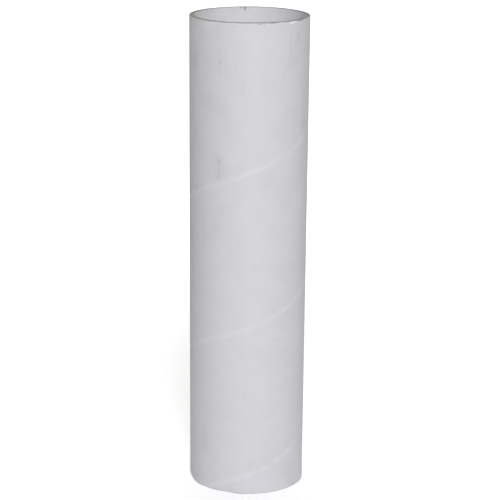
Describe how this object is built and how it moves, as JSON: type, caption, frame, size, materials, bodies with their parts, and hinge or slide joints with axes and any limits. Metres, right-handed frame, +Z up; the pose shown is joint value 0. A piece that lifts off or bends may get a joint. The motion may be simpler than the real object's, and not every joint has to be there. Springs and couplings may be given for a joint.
{
  "type": "cardboard tube",
  "caption": "Straight spiral wound cardboard tube with white faces, open at both ends, standing on its cut end.",
  "frame": {"origin": "centre of the tube at its lower cut end, on the surface that it stands on", "axes": "+Z up along the axis of the tube, -Y towards the front"},
  "size_m": [0.0832, 0.0832, 0.34],
  "materials": {
    "white_board": "matte paper"
  },
  "bodies": {
    "root": {"tube": "white_board"}
  },
  "joints": []
}
